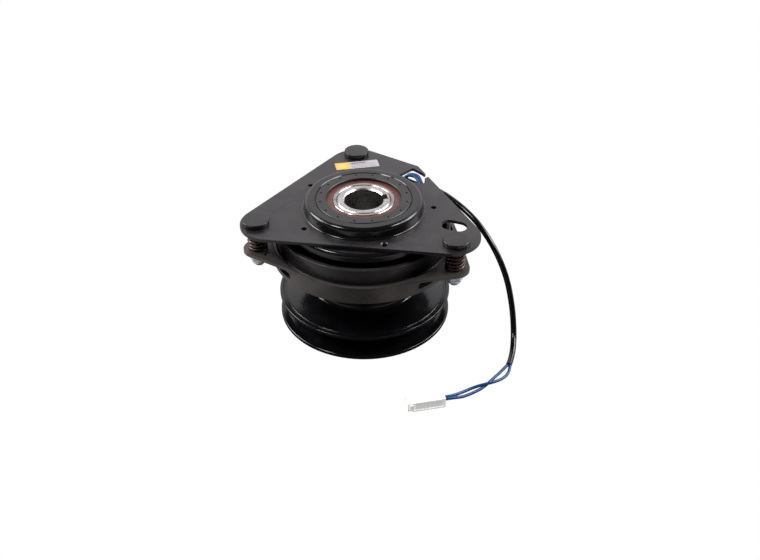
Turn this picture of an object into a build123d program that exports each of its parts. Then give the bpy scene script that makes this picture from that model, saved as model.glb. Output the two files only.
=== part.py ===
from build123d import *

import math
import os

# Electromagnetic clutch and brake for a vertical crankshaft, in millimetres.
# +Z is the shaft axis and points to the field side, where the engine sits.
# z = 0 is the lower end of the hub, level with the bottom rim of the pulley.
# The clutch has five layers on one axis: the fixed field on top, the rotor that turns
# with the shaft, the armature, the brake plate that hangs from the field on three
# bolts, and the belt pulley on its own bearing at the bottom.

os.makedirs("parts", exist_ok=True)


# ---------------------------------------------------------------- driving dimensions

# Shaft and bearings
SHAFT_R = 28.575 / 2
KEY_WIDTH = 6.35
KEY_DEPTH = 3.2
KEY_ANGLE = 12.0
BEARING_BORE_R = 20.0
BEARING_OUTER_R = 34.0
BEARING_WIDTH = 15.0
BALL_R = 3.97
BALL_COUNT = 12
BALL_CLEARANCE = 0.04
SEAL_LIP_R = 22.5
RUNNING_GAP = 0.08

# Heights, from the bottom rim of the pulley
HUB_TOP_Z = 97.7
DOME_TOP_Z = 99.2
PLATE_TOP_Z = 90.9
PLATE_THICKNESS = 2.4
PLATE_BOTTOM_Z = PLATE_TOP_Z - PLATE_THICKNESS
FIELD_RIM_Z = 82.3
ROTOR_RIM_Z = 79.3
EAR_TOP_Z = 70.4
EAR_THICKNESS = 2.5
BRAKE_RIM_Z = EAR_TOP_Z - EAR_THICKNESS
ROTOR_FACE_Z = 61.0
AIR_GAP = 0.5
BRAKE_BOTTOM_Z = 53.7
LINING_TOP_Z = 55.9
PULLEY_TOP_Z = 50.5
PULLEY_BEARING_Z = 19.5

# Field
DOME_R = 43.9
DOME_SHOULDER_R = 42.9
INNER_POLE_R = 33.0
BEARING_LEDGE_R = 31.2
BEARING_LEDGE_Z = 80.7
RING_INNER_R = 27.4
RING_OUTER_R = 34.7
RING_SEAT_R = 35.3
SHELL_R = 58.8
SHELL_LOWER_R = 57.3
SHELL_BOTTOM_Z = 68.5
SHELL_WEB_Z = 84.5
COIL_INNER_R = 40.4
COIL_OUTER_R = 54.3

# Three adjusting bolts. The single bolt by the anti-rotation slot is on the right.
BOLT_CIRCLE_R = 79.7
BOLT_ANGLES = {"back": 95.0, "left": 196.2, "right": 324.0}
BOLT_SHANK_R = 3.9
BOLT_HEAD_R = 9.6
BOLT_HEAD_HEIGHT = 3.6
NUT_ACROSS = 12.0
NUT_HEX_HEIGHT = 6.6
NUT_COLLAR_R = 5.2
NUT_COLLAR_HEIGHT = 3.0

# Brake plate, rotor and armature
BRAKE_R = 69.1
BRAKE_WALL = 2.5
BRAKE_LIP_R = 59.5
EAR_CORNER_R = 10.5
ROTOR_R = 63.9
ROTOR_WALL_INNER_R = 60.7
ROTOR_BOSS_R = 31.6
ROTOR_FLANGE_R = 65.6
ARMATURE_R = 65.6
ARMATURE_INNER_R = 36.0

# Springs
SPRING_OUTER_R = 7.2
SPRING_WIRE_R = 0.95
SPRING_ACTIVE_TURNS = 4.25

# Pulley
FLANGE_R = 65.4
RIM_INNER_R = 60.2
UPPER_FLANGE_R = 61.0
UPPER_GROOVE_R = 40.5
LOWER_GROOVE_R = 48.5
PULLEY_LEDGE_R = 31.4
POCKET_CONE_R = 38.0
MIDDLE_RIM_Z = 18.0
RIM_THICKNESS = 3.0
RELIEF_INNER_R = 61.0
RELIEF_OUTER_R = 63.0
RELIEF_DEPTH = 1.0
GROOVE_HALF_ANGLE = 18.0

# Lead
SLEEVE_R = 2.2
WIRE_R = 0.9


# ---------------------------------------------------------------- helpers

def polar(radius, angle):
    """A point in plan, from its radius and its angle in degrees."""
    return (radius * math.cos(math.radians(angle)), radius * math.sin(math.radians(angle)))


def save(builder, label):
    """Label one finished piece and write it as its own file."""
    builder.part.label = label
    export_step(builder.part, "parts/" + label + ".step")


def route_radii(points):
    """The largest tangent arc at each corner of a cord's route."""
    corners = [Vector(*point) for point in points]
    radii = []
    for before, corner, after in zip(corners, corners[1:], corners[2:]):
        arriving = corner - before
        leaving = after - corner
        half_turn = math.radians(arriving.get_angle(leaving)) / 2
        shorter = min(arriving.length, leaving.length)
        radii.append(0.45 * shorter / math.tan(half_turn))
    return radii


def cord_tube(points, radius, label):
    """A round tube along straight runs joined by tangent arcs."""
    radii = route_radii(points)
    with BuildPart() as tube:
        with BuildLine():
            route = FilletPolyline(*points, radius=radii)
        with BuildSketch(Plane(route @ 0, z_dir=route % 0)):
            Circle(radius)
        sweep(path=route)
    expected = math.pi * radius**2 * route.length
    print(label, "length", round(route.length, 1), "tightest", round(min(radii), 1),
          "volume ratio", round(tube.part.volume / expected, 4))
    return tube


BOLT_POINTS = {name: polar(BOLT_CIRCLE_R, angle) for name, angle in BOLT_ANGLES.items()}


# ---------------------------------------------------------------- field

# The field plate is a rounded triangle with a fourth, small corner beside the cable window.
PLATE_CORNERS = [((-6.0, 65.5), 22.0), ((-66.0, -21.0), 22.0), ((59.5, -37.0), 23.0), ((39.3, 58.0), 3.0)]
SLOT_ANGLE = -21.3
SLOT_CENTRE_R = 69.0
SLOT_LENGTH = 19.0
SLOT_WIDTH = 12.7
SMALL_HOLE_R = 2.0
SMALL_HOLE_CIRCLE_R = 51.0
SMALL_HOLE_START = 71.0

with BuildPart() as field_plate:
    with BuildSketch(Plane.XY.offset(PLATE_BOTTOM_Z)):
        for corner_centre, corner_r in PLATE_CORNERS:
            with Locations(corner_centre):
                Circle(corner_r)
        make_hull()
        Circle(DOME_R + 0.1, mode=Mode.SUBTRACT)
        with Locations(*BOLT_POINTS.values()):
            Circle(BOLT_SHANK_R + 0.2, mode=Mode.SUBTRACT)
        with PolarLocations(SMALL_HOLE_CIRCLE_R, 5, SMALL_HOLE_START):
            Circle(SMALL_HOLE_R, mode=Mode.SUBTRACT)
        with Locations(polar(SLOT_CENTRE_R, SLOT_ANGLE)):
            SlotOverall(SLOT_LENGTH, SLOT_WIDTH, rotation=SLOT_ANGLE, mode=Mode.SUBTRACT)
        # Cable window: a rounded triangle between the dome and the plate's edge, with a
        # slit that opens it to the outside so that two hooked fingers remain.
        with BuildSketch(mode=Mode.PRIVATE) as window:
            with BuildLine():
                Polyline((26.0, 46.0), (37.4, 57.2), (45.3, 48.4), (46.3, 43.0), (45.4, 33.6))
                ThreePointArc((45.4, 33.6), polar(50.5, 47), (26.0, 46.0))
            make_face()
            fillet(window.vertices(), radius=1.6)
        with BuildSketch(mode=Mode.PRIVATE) as slit:
            with Locations((48.6, 46.5)):
                Rectangle(12.0, 4.4, rotation=42.0)
        add(window.sketch, mode=Mode.SUBTRACT)
        add(slit.sketch, mode=Mode.SUBTRACT)
    extrude(amount=PLATE_THICKNESS)
    with Locations((*polar(SMALL_HOLE_CIRCLE_R, SMALL_HOLE_START + 216.0), PLATE_TOP_Z)):
        CounterSinkHole(SMALL_HOLE_R, SMALL_HOLE_R + 0.9, depth=PLATE_THICKNESS)
save(field_plate, "field_plate")

# The field shell holds the coil between two pole walls and carries the bearing in its dome.
with BuildPart() as field_shell:
    with BuildSketch(Plane.XZ):
        with BuildLine():
            Polyline(
                (BEARING_LEDGE_R, BEARING_LEDGE_Z), (BEARING_LEDGE_R, HUB_TOP_Z - BEARING_WIDTH),
                (BEARING_OUTER_R, HUB_TOP_Z - BEARING_WIDTH), (BEARING_OUTER_R, HUB_TOP_Z),
                (RING_SEAT_R, HUB_TOP_Z), (RING_SEAT_R, DOME_TOP_Z - 0.4), (RING_SEAT_R + 0.4, DOME_TOP_Z),
                (DOME_SHOULDER_R, DOME_TOP_Z), (DOME_R, PLATE_TOP_Z + 0.5), (DOME_R, PLATE_BOTTOM_Z),
                (SHELL_R, PLATE_BOTTOM_Z), (SHELL_R, FIELD_RIM_Z), (SHELL_LOWER_R, FIELD_RIM_Z - 0.8),
                (SHELL_LOWER_R, SHELL_BOTTOM_Z), (COIL_OUTER_R + 0.2, SHELL_BOTTOM_Z),
                (COIL_OUTER_R + 0.2, SHELL_WEB_Z), (COIL_INNER_R - 0.2, SHELL_WEB_Z),
                (COIL_INNER_R - 0.2, SHELL_BOTTOM_Z), (INNER_POLE_R, SHELL_BOTTOM_Z),
                (INNER_POLE_R, BEARING_LEDGE_Z),
                close=True,
            )
        make_face()
    revolve(axis=Axis.Z)
    dome_edge = field_shell.edges().filter_by(GeomType.CIRCLE).filter_by(
        lambda edge: abs(edge.radius - DOME_SHOULDER_R) < 0.01)
    fillet(dome_edge, radius=3.2)
    shoulder_edge = field_shell.edges().filter_by(GeomType.CIRCLE).filter_by(
        lambda edge: abs(edge.radius - SHELL_R) < 0.01 and edge.center().Z > PLATE_BOTTOM_Z - 0.1)
    fillet(shoulder_edge, radius=3.0)
    # A shallow channel lets the lead pass under the plate, and a hole beside it drops to the coil.
    with BuildSketch(Plane.XY.offset(PLATE_BOTTOM_Z - 3.2)):
        with Locations((50.0, 35.3)):
            Rectangle(24.0, 6.4, rotation=-8.0)
        with Locations((40.6, 37.4)):
            Circle(4.6)
    extrude(amount=10.0, mode=Mode.SUBTRACT)
    with BuildSketch(Plane.XY.offset(SHELL_WEB_Z - 1.0)):
        with Locations((30.8, 44.8)):
            Circle(3.4)
    extrude(amount=8.0, mode=Mode.SUBTRACT)
save(field_shell, "field_shell")

# A flat black ring keeps the bearing in the dome. Sixteen punch marks stake it.
STAKE_COUNT = 16
STAKE_CIRCLE_R = 32.0

with BuildPart() as bearing_retainer_ring:
    with BuildSketch(Plane.XY.offset(HUB_TOP_Z)):
        Circle(RING_OUTER_R)
        Circle(RING_INNER_R, mode=Mode.SUBTRACT)
    extrude(amount=DOME_TOP_Z - HUB_TOP_Z)
    ring_edges = bearing_retainer_ring.edges().group_by(Axis.Z)[-1]
    chamfer(ring_edges, length=0.35)
    with BuildSketch(Plane.XY.offset(DOME_TOP_Z)):
        with PolarLocations(STAKE_CIRCLE_R, STAKE_COUNT, 360.0 / STAKE_COUNT / 2):
            Circle(0.95)
    extrude(amount=-0.6, taper=30, mode=Mode.SUBTRACT)
save(bearing_retainer_ring, "bearing_retainer_ring")

BOBBIN_WALL = 1.2
BOBBIN_BOTTOM_Z = 69.5
BOBBIN_TOP_Z = SHELL_WEB_Z - 0.1

with BuildPart() as coil_bobbin:
    with BuildSketch(Plane.XZ):
        with Locations((COIL_INNER_R, BOBBIN_BOTTOM_Z)):
            Rectangle(COIL_OUTER_R - COIL_INNER_R, BOBBIN_TOP_Z - BOBBIN_BOTTOM_Z, align=(Align.MIN, Align.MIN))
        with Locations((COIL_INNER_R + BOBBIN_WALL, BOBBIN_BOTTOM_Z + BOBBIN_WALL)):
            Rectangle(COIL_OUTER_R - COIL_INNER_R, BOBBIN_TOP_Z - BOBBIN_BOTTOM_Z - 2 * BOBBIN_WALL,
                      align=(Align.MIN, Align.MIN), mode=Mode.SUBTRACT)
    revolve(axis=Axis.Z)
save(coil_bobbin, "coil_bobbin")

with BuildPart() as coil_winding:
    with BuildSketch(Plane.XZ):
        with Locations((COIL_INNER_R + BOBBIN_WALL, BOBBIN_BOTTOM_Z + BOBBIN_WALL)):
            Rectangle(COIL_OUTER_R - COIL_INNER_R - BOBBIN_WALL - 0.6,
                      BOBBIN_TOP_Z - BOBBIN_BOTTOM_Z - 2 * BOBBIN_WALL, align=(Align.MIN, Align.MIN))
    revolve(axis=Axis.Z)
save(coil_winding, "coil_winding")

with BuildPart() as coil_potting:
    with BuildSketch(Plane.XY.offset(SHELL_BOTTOM_Z + 0.2)):
        Circle(COIL_OUTER_R + 0.2)
        Circle(COIL_INNER_R - 0.2, mode=Mode.SUBTRACT)
    extrude(amount=BOBBIN_BOTTOM_Z - SHELL_BOTTOM_Z - 0.2)
save(coil_potting, "coil_potting")

LABEL_CENTRE = (-6.2, 62.0)
LABEL_LENGTH = 34.0
LABEL_HEIGHT = 10.6
LABEL_THICKNESS = 0.15

with BuildPart() as plate_label:
    with BuildSketch(Plane.XY.offset(PLATE_TOP_Z)):
        with Locations(LABEL_CENTRE):
            RectangleRounded(LABEL_LENGTH, LABEL_HEIGHT, 0.8, rotation=11.0)
    extrude(amount=LABEL_THICKNESS)
save(plate_label, "plate_label")

# The bolts have plain round heads, flat on top.
BOLT_TIP_Z = 56.4

with BuildPart() as adjusting_bolts:
    for bolt_x, bolt_y in BOLT_POINTS.values():
        with BuildSketch(Plane.XY.offset(PLATE_TOP_Z)):
            with Locations((bolt_x, bolt_y)):
                Circle(BOLT_HEAD_R)
        extrude(amount=BOLT_HEAD_HEIGHT)
        with BuildSketch(Plane.XY.offset(PLATE_TOP_Z)):
            with Locations((bolt_x, bolt_y)):
                Circle(BOLT_SHANK_R)
        extrude(amount=BOLT_TIP_Z - PLATE_TOP_Z)
    head_rims = adjusting_bolts.edges().group_by(Axis.Z)[-1]
    fillet(head_rims, radius=0.8)
    shank_tips = adjusting_bolts.edges().group_by(Axis.Z)[0]
    chamfer(shank_tips, length=0.6)
save(adjusting_bolts, "adjusting_bolts")

# Coil springs push the brake plate away from the field. Their last turn at each end is closed.
SPRING_MEAN_R = SPRING_OUTER_R - SPRING_WIRE_R
CLOSED_PITCH = 2 * SPRING_WIRE_R + 0.05
SPRING_LOW_Z = EAR_TOP_Z + SPRING_WIRE_R + 0.05
SPRING_HIGH_Z = PLATE_BOTTOM_Z - SPRING_WIRE_R - 0.05
ACTIVE_HEIGHT = SPRING_HIGH_Z - SPRING_LOW_Z - 2 * CLOSED_PITCH
ACTIVE_PITCH = ACTIVE_HEIGHT / SPRING_ACTIVE_TURNS

for spring_name, (spring_x, spring_y) in BOLT_POINTS.items():
    with BuildPart() as brake_spring:
        active_start = SPRING_LOW_Z + CLOSED_PITCH
        active_turn = (SPRING_ACTIVE_TURNS % 1.0) * 360.0
        with BuildLine(Plane((spring_x, spring_y, SPRING_LOW_Z))):
            lower = Helix(CLOSED_PITCH, CLOSED_PITCH, SPRING_MEAN_R)
        with BuildSketch(Plane(lower @ 0, z_dir=lower % 0)):
            Circle(SPRING_WIRE_R)
        sweep(path=lower, is_frenet=True)
        with BuildLine(Plane((spring_x, spring_y, active_start))):
            active = Helix(ACTIVE_PITCH, ACTIVE_HEIGHT, SPRING_MEAN_R)
        with BuildSketch(Plane(active @ 0, z_dir=active % 0)):
            Circle(SPRING_WIRE_R)
        sweep(path=active, is_frenet=True)
        with BuildLine(Plane((spring_x, spring_y, SPRING_HIGH_Z - CLOSED_PITCH), x_dir=polar(1.0, active_turn))):
            upper = Helix(CLOSED_PITCH, CLOSED_PITCH, SPRING_MEAN_R)
        with BuildSketch(Plane(upper @ 0, z_dir=upper % 0)):
            Circle(SPRING_WIRE_R)
        sweep(path=upper, is_frenet=True)
    save(brake_spring, "brake_spring_" + spring_name)


# ---------------------------------------------------------------- ball bearings

RACE_INNER_LAND_R = 24.3
RACE_OUTER_LAND_R = 29.7
SEAL_SEAT_R = 31.0
SEAL_SEAT_DEPTH = 1.6
SEAL_THICKNESS = 0.8
BALL_CIRCLE_R = (BEARING_BORE_R + BEARING_OUTER_R) / 2
CAGE_HALF_HEIGHT = 5.2


def bearing_inner_race(base_z, label):
    """The race that sits on the hub, with a step at each face for the seal lip."""
    top_z = base_z + BEARING_WIDTH
    with BuildPart() as race:
        with BuildSketch(Plane.XZ):
            with BuildLine():
                Polyline((BEARING_BORE_R, base_z), (SEAL_LIP_R, base_z), (SEAL_LIP_R, base_z + SEAL_SEAT_DEPTH),
                         (RACE_INNER_LAND_R, base_z + SEAL_SEAT_DEPTH),
                         (RACE_INNER_LAND_R, top_z - SEAL_SEAT_DEPTH), (SEAL_LIP_R, top_z - SEAL_SEAT_DEPTH),
                         (SEAL_LIP_R, top_z), (BEARING_BORE_R, top_z), close=True)
            make_face()
            with Locations((BALL_CIRCLE_R, base_z + BEARING_WIDTH / 2)):
                Circle(BALL_R + BALL_CLEARANCE, mode=Mode.SUBTRACT)
        revolve(axis=Axis.Z)
        rims = race.edges().group_by(Axis.Z)[-1]
        chamfer(rims, length=0.3)
    save(race, label)


def bearing_outer_race(base_z, label):
    """The race that sits in a housing, with a seat at each face for the seal."""
    top_z = base_z + BEARING_WIDTH
    with BuildPart() as race:
        with BuildSketch(Plane.XZ):
            with BuildLine():
                Polyline((SEAL_SEAT_R, base_z), (BEARING_OUTER_R, base_z), (BEARING_OUTER_R, top_z),
                         (SEAL_SEAT_R, top_z), (SEAL_SEAT_R, top_z - SEAL_SEAT_DEPTH),
                         (RACE_OUTER_LAND_R, top_z - SEAL_SEAT_DEPTH),
                         (RACE_OUTER_LAND_R, base_z + SEAL_SEAT_DEPTH),
                         (SEAL_SEAT_R, base_z + SEAL_SEAT_DEPTH), close=True)
            make_face()
            with Locations((BALL_CIRCLE_R, base_z + BEARING_WIDTH / 2)):
                Circle(BALL_R + BALL_CLEARANCE, mode=Mode.SUBTRACT)
        revolve(axis=Axis.Z)
    save(race, label)


def bearing_seal(outside_z, inward, label):
    """A seal disc with a raised lip ring, its outer face 0.5 mm inside the bearing's face."""
    face = outside_z + 0.5 * inward
    with BuildPart() as seal:
        with BuildSketch(Plane.XZ):
            with BuildLine():
                Polyline((SEAL_LIP_R + RUNNING_GAP, face), (24.2, face), (24.7, face + 0.25 * inward),
                         (29.0, face + 0.25 * inward), (29.5, face), (SEAL_SEAT_R, face),
                         (SEAL_SEAT_R, face + SEAL_THICKNESS * inward),
                         (SEAL_LIP_R + RUNNING_GAP, face + SEAL_THICKNESS * inward), close=True)
            make_face()
        revolve(axis=Axis.Z)
    save(seal, label)


def bearing_balls(base_z, label):
    """The ring of balls."""
    with BuildPart() as ball:
        with BuildSketch(Plane.XZ):
            with BuildLine():
                CenterArc((BALL_CIRCLE_R, base_z + BEARING_WIDTH / 2), BALL_R, 0, 180)
                Line((BALL_CIRCLE_R - BALL_R, base_z + BEARING_WIDTH / 2),
                     (BALL_CIRCLE_R + BALL_R, base_z + BEARING_WIDTH / 2))
            make_face()
        revolve(axis=Axis((0, 0, base_z + BEARING_WIDTH / 2), (1, 0, 0)))
    with BuildPart() as ring:
        for index in range(BALL_COUNT):
            add(ball.part.rotate(Axis.Z, index * 360.0 / BALL_COUNT))
    save(ring, label)


def bearing_cage(base_z, label):
    """A pocketed ring that spaces the balls."""
    middle_z = base_z + BEARING_WIDTH / 2
    with BuildPart() as cage:
        with BuildSketch(Plane.XY.offset(middle_z - CAGE_HALF_HEIGHT)):
            Circle(BALL_CIRCLE_R + 1.6)
            Circle(BALL_CIRCLE_R - 1.6, mode=Mode.SUBTRACT)
        extrude(amount=2 * CAGE_HALF_HEIGHT)
        with Locations((0, 0, middle_z)):
            with PolarLocations(BALL_CIRCLE_R, BALL_COUNT):
                Cylinder(BALL_R + 0.15, 8.0, rotation=(0, 90, 0), mode=Mode.SUBTRACT)
    save(cage, label)


FIELD_BEARING_Z = HUB_TOP_Z - BEARING_WIDTH

for bearing_name, bearing_base in (("field", FIELD_BEARING_Z), ("pulley", PULLEY_BEARING_Z)):
    bearing_inner_race(bearing_base, bearing_name + "_bearing_inner_race")
    bearing_outer_race(bearing_base, bearing_name + "_bearing_outer_race")
    bearing_seal(bearing_base + BEARING_WIDTH, -1, bearing_name + "_bearing_top_seal")
    bearing_seal(bearing_base, 1, bearing_name + "_bearing_bottom_seal")
    bearing_balls(bearing_base, bearing_name + "_bearing_balls")
    bearing_cage(bearing_base, bearing_name + "_bearing_cage")


# ---------------------------------------------------------------- hub and rotor

HUB_SHOULDER_R = 24.0
HUB_SHOULDER_Z = 45.0
SNAP_RING_Z = PULLEY_BEARING_Z - 1.75
SNAP_RING_THICKNESS = 1.7
SNAP_GROOVE_R = 18.6

with BuildPart() as hub:
    with BuildSketch(Plane.XZ):
        with BuildLine():
            Polyline((SHAFT_R, 0), (BEARING_BORE_R - 0.8, 0), (BEARING_BORE_R, 0.8),
                     (BEARING_BORE_R, SNAP_RING_Z), (SNAP_GROOVE_R, SNAP_RING_Z),
                     (SNAP_GROOVE_R, SNAP_RING_Z + SNAP_RING_THICKNESS),
                     (BEARING_BORE_R, SNAP_RING_Z + SNAP_RING_THICKNESS), (BEARING_BORE_R, HUB_SHOULDER_Z),
                     (HUB_SHOULDER_R, HUB_SHOULDER_Z), (HUB_SHOULDER_R, FIELD_BEARING_Z),
                     (BEARING_BORE_R, FIELD_BEARING_Z), (BEARING_BORE_R, HUB_TOP_Z - 1.1),
                     (BEARING_BORE_R - 1.1, HUB_TOP_Z), (SHAFT_R + 0.9, HUB_TOP_Z),
                     (SHAFT_R, HUB_TOP_Z - 0.9), close=True)
        make_face()
    revolve(axis=Axis.Z)
    with BuildSketch(Plane.XY):
        with PolarLocations(0, 1, KEY_ANGLE):
            with Locations((SHAFT_R - 1.0, 0)):
                Rectangle(KEY_DEPTH + 1.0, KEY_WIDTH, align=(Align.MIN, Align.CENTER))
    extrude(amount=HUB_TOP_Z, mode=Mode.SUBTRACT)
save(hub, "hub")

ROTOR_DISC_TOP_Z = 66.5
LINING_INNER_R = 46.0
LINING_OUTER_R = 54.0
LINING_DEPTH = 3.0

with BuildPart() as rotor:
    with BuildSketch(Plane.XZ):
        with BuildLine():
            Polyline((HUB_SHOULDER_R, ROTOR_FACE_Z), (LINING_INNER_R, ROTOR_FACE_Z),
                     (LINING_INNER_R, ROTOR_FACE_Z + LINING_DEPTH), (LINING_OUTER_R, ROTOR_FACE_Z + LINING_DEPTH),
                     (LINING_OUTER_R, ROTOR_FACE_Z), (ROTOR_FLANGE_R, ROTOR_FACE_Z),
                     (ROTOR_FLANGE_R, ROTOR_DISC_TOP_Z - 1.0), (ROTOR_R, ROTOR_DISC_TOP_Z),
                     (ROTOR_R, ROTOR_RIM_Z - 0.4), (ROTOR_R - 0.4, ROTOR_RIM_Z),
                     (ROTOR_WALL_INNER_R, ROTOR_RIM_Z), (ROTOR_WALL_INNER_R, ROTOR_DISC_TOP_Z),
                     (ROTOR_BOSS_R, ROTOR_DISC_TOP_Z), (ROTOR_BOSS_R, ROTOR_RIM_Z),
                     (HUB_SHOULDER_R, ROTOR_RIM_Z), close=True)
        make_face()
    revolve(axis=Axis.Z)
save(rotor, "rotor")

with BuildPart() as rotor_lining:
    with BuildSketch(Plane.XY.offset(ROTOR_FACE_Z)):
        Circle(LINING_OUTER_R)
        Circle(LINING_INNER_R, mode=Mode.SUBTRACT)
    extrude(amount=LINING_DEPTH)
save(rotor_lining, "rotor_lining")

with BuildPart() as bearing_spacer:
    with BuildSketch(Plane.XY.offset(PULLEY_BEARING_Z + BEARING_WIDTH)):
        Circle(RACE_INNER_LAND_R - 0.3)
        Circle(BEARING_BORE_R, mode=Mode.SUBTRACT)
    extrude(amount=HUB_SHOULDER_Z - PULLEY_BEARING_Z - BEARING_WIDTH)
save(bearing_spacer, "bearing_spacer")

with BuildPart() as snap_ring:
    with BuildSketch(Plane.XY.offset(SNAP_RING_Z)):
        Circle(SEAL_LIP_R - 0.2)
        Circle(SNAP_GROOVE_R, mode=Mode.SUBTRACT)
        with Locations((0, -BEARING_BORE_R)):
            Rectangle(6.0, 8.0, mode=Mode.SUBTRACT)
    extrude(amount=SNAP_RING_THICKNESS)
save(snap_ring, "snap_ring")


# ---------------------------------------------------------------- armature and its leaf springs

ARMATURE_BOTTOM_Z = LINING_TOP_Z + 0.05
ARMATURE_TOP_Z = ROTOR_FACE_Z - AIR_GAP
LEAF_THICKNESS = 0.8
LEAF_WIDTH = 10.0
LEAF_RADIUS = 48.0
LEAF_HALF_LENGTH = 17.0
RIVET_OFFSET = 12.5
LEAF_ANGLES = [35.0, 155.0, 275.0]
RIVET_R = 2.4
RIVET_HEAD_R = 3.8
RIVET_HEAD_HEIGHT = 1.4


def leaf_plane(angle, height):
    """A plane at one leaf: its X runs along the leaf, its Y points outwards, its Z is up."""
    along = Vector(-math.sin(math.radians(angle)), math.cos(math.radians(angle)), 0)
    return Plane(origin=(*polar(LEAF_RADIUS, angle), height), x_dir=along, z_dir=(0, 0, 1))


with BuildPart() as armature_plate:
    with BuildSketch(Plane.XY.offset(ARMATURE_BOTTOM_Z)):
        Circle(ARMATURE_R)
        Circle(ARMATURE_INNER_R, mode=Mode.SUBTRACT)
        for leaf_angle in LEAF_ANGLES:
            with BuildSketch(mode=Mode.PRIVATE) as flux_slot:
                SlotArc(CenterArc((0, 0), 50.0, leaf_angle + 40.0, 55.0), 3.0)
            add(flux_slot.sketch, mode=Mode.SUBTRACT)
    extrude(amount=ARMATURE_TOP_Z - ARMATURE_BOTTOM_Z)
    for leaf_angle in LEAF_ANGLES:
        with BuildSketch(leaf_plane(leaf_angle, ARMATURE_BOTTOM_Z)):
            with Locations((RIVET_OFFSET, 0)):
                Circle(RIVET_R)
        extrude(amount=ARMATURE_TOP_Z - ARMATURE_BOTTOM_Z, mode=Mode.SUBTRACT)
save(armature_plate, "armature_plate")

with BuildPart() as leaf_springs:
    for leaf_angle in LEAF_ANGLES:
        side = leaf_plane(leaf_angle, PULLEY_TOP_Z)
        profile_plane = Plane(origin=side.origin, x_dir=side.x_dir, z_dir=-side.y_dir)
        rise = ARMATURE_BOTTOM_Z - PULLEY_TOP_Z - LEAF_THICKNESS
        with BuildSketch(profile_plane):
            with BuildLine():
                Polyline((-LEAF_HALF_LENGTH, 0), (-7.0, 0), (7.0, rise), (LEAF_HALF_LENGTH, rise),
                         (LEAF_HALF_LENGTH, rise + LEAF_THICKNESS), (6.8, rise + LEAF_THICKNESS),
                         (-7.2, LEAF_THICKNESS), (-LEAF_HALF_LENGTH, LEAF_THICKNESS), close=True)
            make_face()
        extrude(amount=LEAF_WIDTH / 2, both=True)
        with BuildSketch(side):
            with Locations((-RIVET_OFFSET, 0), (RIVET_OFFSET, 0)):
                Circle(RIVET_R)
        extrude(amount=10.0, mode=Mode.SUBTRACT)
save(leaf_springs, "leaf_springs")

PULLEY_RIVET_DEPTH = 4.5

with BuildPart() as pulley_rivets:
    for leaf_angle in LEAF_ANGLES:
        with BuildSketch(leaf_plane(leaf_angle, PULLEY_TOP_Z - PULLEY_RIVET_DEPTH)):
            with Locations((-RIVET_OFFSET, 0)):
                Circle(RIVET_R)
        extrude(amount=PULLEY_RIVET_DEPTH + LEAF_THICKNESS)
        with BuildSketch(leaf_plane(leaf_angle, PULLEY_TOP_Z + LEAF_THICKNESS)):
            with Locations((-RIVET_OFFSET, 0)):
                Circle(RIVET_HEAD_R)
        extrude(amount=RIVET_HEAD_HEIGHT, taper=15)
save(pulley_rivets, "pulley_rivets")

with BuildPart() as armature_rivets:
    for leaf_angle in LEAF_ANGLES:
        with BuildSketch(leaf_plane(leaf_angle, ARMATURE_BOTTOM_Z - LEAF_THICKNESS)):
            with Locations((RIVET_OFFSET, 0)):
                Circle(RIVET_R)
        extrude(amount=ARMATURE_TOP_Z - ARMATURE_BOTTOM_Z + LEAF_THICKNESS)
        with BuildSketch(leaf_plane(leaf_angle, ARMATURE_BOTTOM_Z - LEAF_THICKNESS)):
            with Locations((RIVET_OFFSET, 0)):
                Circle(RIVET_HEAD_R)
        extrude(amount=-RIVET_HEAD_HEIGHT, taper=15)
save(armature_rivets, "armature_rivets")


# ---------------------------------------------------------------- brake plate and nuts

LIP_THICKNESS = 1.6
EAR_BEND_R = 2.0
EAR_BEND_START_R = 68.3
EAR_HOLE_R = 4.2
RAMP_START = 26.0
RAMP_SLOPE = math.radians(6.6)
RAMP_LENGTH = 20.5
WINDOW_BOTTOM_Z = 58.3
WINDOW_HEIGHT = 4.8
WINDOW_LENGTH = 15.0
WINDOW_OFFSETS = {"back": (-16.0, 16.0), "left": (-16.0, 18.5), "right": (-13.5, 16.0)}
PEEP_HOLE_R = 1.8
PEEP_HOLE_PLACE = (-69.4, -31.2)

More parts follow.
